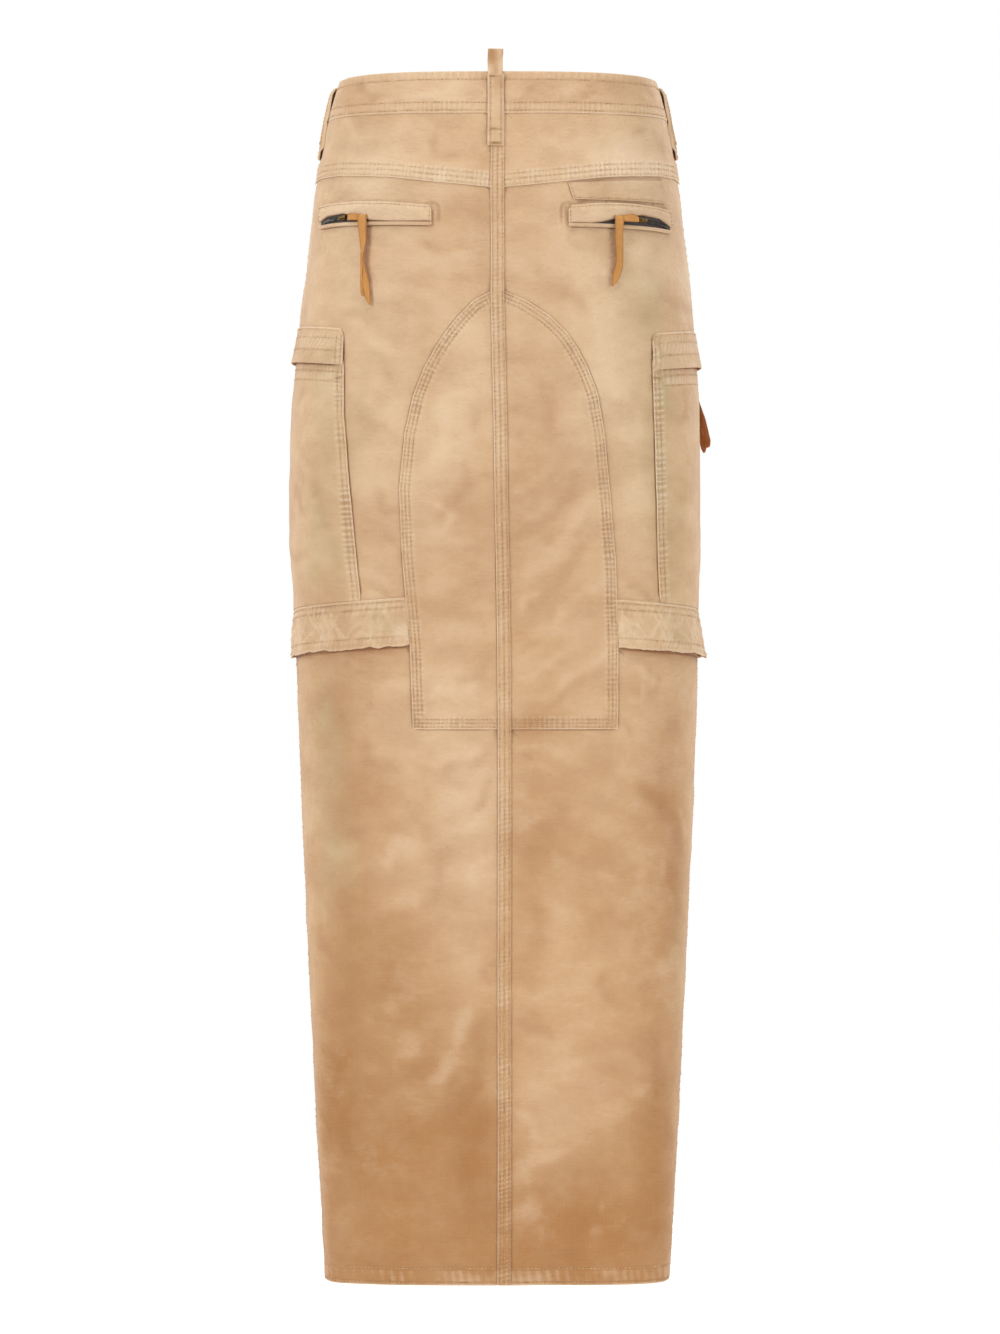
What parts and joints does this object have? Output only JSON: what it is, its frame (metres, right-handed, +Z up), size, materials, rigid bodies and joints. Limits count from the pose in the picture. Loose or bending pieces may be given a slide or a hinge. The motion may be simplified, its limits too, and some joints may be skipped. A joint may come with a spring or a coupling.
{
  "type": "cargo utility skirt",
  "caption": "Long straight canvas skirt in its worn hollow form, with waistband, back yoke, arched seat panel, zip pockets and cargo pockets wrapped round the sides.",
  "frame": {"origin": "middle of the waist opening, level with the waistband's top edge", "axes": "+Z up along the skirt's length, +Y towards the wearer's front, +X towards the wearer's right"},
  "size_m": [0.3733, 0.2448, 1.0669],
  "materials": {
    "canvas": "washed and stained cotton canvas, matt",
    "suede": "ochre suede, matt",
    "zip_tape": "dark grey woven zip",
    "brass": "aged"
  },
  "bodies": {
    "root": {"back_panel_left": "canvas", "back_panel_right": "canvas", "back_seam_band": "canvas", "belt_loop_back": "canvas", "belt_loop_front_left": "canvas", "belt_loop_front_right": "canvas", "belt_loop_side_left": "canvas", "belt_loop_side_right": "canvas", "cargo_pocket_left": "canvas", "cargo_pocket_right": "canvas", "fly_placket": "canvas", "front_panel_left": "canvas", "front_panel_right": "canvas", "hanger_tab": "canvas", "lower_welt_left": "canvas", "lower_welt_right": "canvas", "patch": "canvas", "pocket_band_left": "canvas", "pocket_band_right": "canvas", "pocket_flap_left": "canvas", "pocket_flap_right": "canvas", "seat_panel_left": "canvas", "seat_panel_right": "canvas", "side_pull": "suede", "waist_button": "brass", "waistband": "canvas", "welt_left": "canvas", "welt_right": "canvas", "yoke_left": "canvas", "yoke_right": "canvas", "zip_pull_left": "suede", "zip_pull_right": "suede", "zip_slider_left": "brass", "zip_slider_right": "brass", "zip_tape_left": "zip_tape", "zip_tape_right": "zip_tape"}
  },
  "joints": []
}
